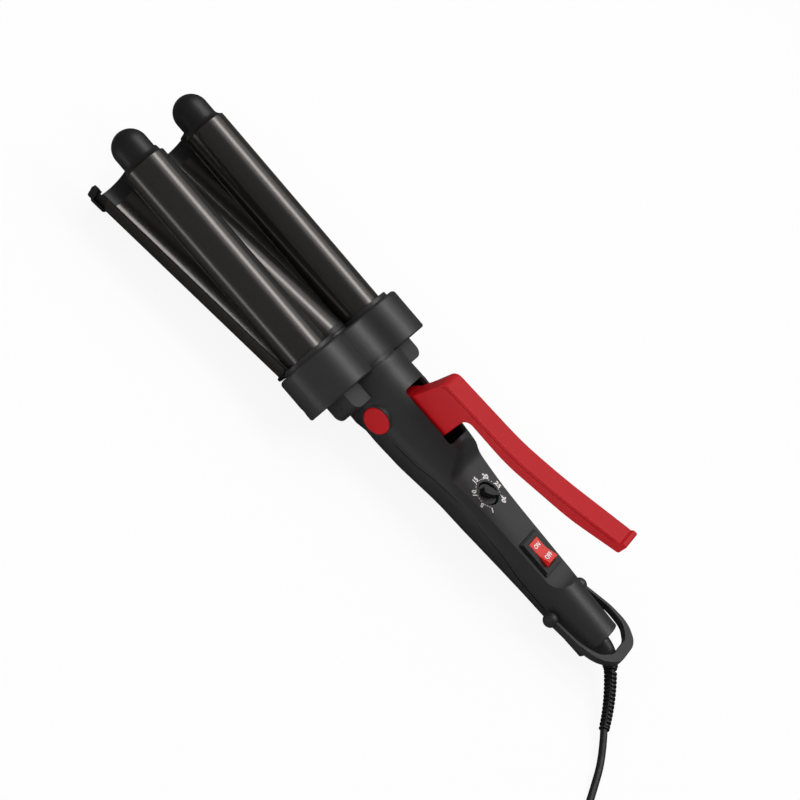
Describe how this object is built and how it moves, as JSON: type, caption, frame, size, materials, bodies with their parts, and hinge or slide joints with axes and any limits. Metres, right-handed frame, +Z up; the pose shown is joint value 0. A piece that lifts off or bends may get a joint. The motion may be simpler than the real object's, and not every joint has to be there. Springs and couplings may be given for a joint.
{
  "type": "hair waver",
  "caption": "Corded hair waver: parallel heated barrels, a W-shaped heated jaw closed by a squeeze lever, heat dial, rocker switch, hanging loop and swivelling cord.",
  "frame": {"origin": "middle of the tool's own box at table height, without the cord, its swivel and its relief", "axes": "+X towards the barrel tips, +Y to the tool's left with the lever up, +Z up from the table; the tool lies tilted on its jaw tip and its handle end"},
  "size_m": [0.5268, 0.1845, 0.0793],
  "materials": {
    "black_shell": "black satin moulding",
    "coated_plate": "dark coated aluminium, smooth",
    "red_plastic": "red moulding, half gloss",
    "red_key": "red see-through key, modelled opaque",
    "bezel": "black, half gloss",
    "dial": "dark grey",
    "screw_steel": "plain steel",
    "spring_steel": "bright wire",
    "board": "green circuit board",
    "contact_brass": "plain brass",
    "spreader": "bare extrusion",
    "heater": "white ceramic plate",
    "cord_rubber": "black, matt"
  },
  "bodies": {
    "grip": {"handle_upper_shell": "black_shell", "handle_lower_shell": "black_shell", "collar_upper": "black_shell", "collar_lower": "black_shell", "collar_screws": "screw_steel", "handle_screws": "screw_steel", "pivot_pin": "screw_steel", "barrel_left": "coated_plate", "barrel_flange_left": "black_shell", "cool_tip_left": "black_shell", "barrel_heater_left": "heater", "heat_spreader_left": "spreader", "pivot_cap_left": "red_plastic", "barrel_right": "coated_plate", "barrel_flange_right": "black_shell", "cool_tip_right": "black_shell", "barrel_heater_right": "heater", "heat_spreader_right": "spreader", "pivot_cap_right": "red_plastic", "return_spring": "spring_steel", "control_board": "board", "board_screws": "screw_steel", "potentiometer": "black_shell", "switch_housing": "bezel", "swivel_contacts": "contact_brass"},
    "jaw": {"lever": "red_plastic", "jaw_arm": "black_shell", "arm_screws": "screw_steel", "cover_screws": "screw_steel", "jaw_plate": "coated_plate", "jaw_tip_cap": "black_shell", "jaw_base_cap": "black_shell", "jaw_back_cover": "black_shell", "jaw_spreader": "spreader", "jaw_heater": "heater", "thermal_fuse": "contact_brass"},
    "heat_dial": {"dial_knob": "dial"},
    "power_rocker": {"rocker": "red_key"},
    "loop": {"hanging_loop": "black_shell"},
    "cord_end": {"cord_swivel": "black_shell", "strain_relief": "cord_rubber", "cord_lead": "cord_rubber", "cord_coil": "cord_rubber", "cord_tail": "cord_rubber", "plug_body": "cord_rubber", "plug_blades": "contact_brass"}
  },
  "joints": [
    {"name": "lever_squeeze", "type": "hinge", "parent": "grip", "child": "jaw", "pos_m": [-0.00945, 0, 0.02729], "axis": [0, -1, 0], "range_deg": [0, 7.9], "stiffness_Nm_per_rad": 6, "springref_deg": -11.46, "deforming": ["return_spring"]},
    {"name": "dial_turn", "type": "hinge", "parent": "grip", "child": "heat_dial", "pos_m": [-0.07769, 0, 0.03], "axis": [-0.0805, 0, 0.9968], "range_deg": [0, 281]},
    {"name": "rocker_tilt", "type": "hinge", "parent": "grip", "child": "power_rocker", "pos_m": [-0.11958, 0, 0.02692], "axis": [0, 1, 0], "range_deg": [-24, 0]},
    {"name": "loop_swing", "type": "hinge", "parent": "grip", "child": "loop", "pos_m": [-0.14812, 0, 0.01509], "axis": [0, 1, 0], "range_deg": [0, 135]},
    {"name": "cord_turn", "type": "hinge", "parent": "grip", "child": "cord_end", "pos_m": [-0.17503, 0, 0.01291], "axis": [0.9968, 0, 0.0805], "range_deg": [-180, 0]}
  ]
}
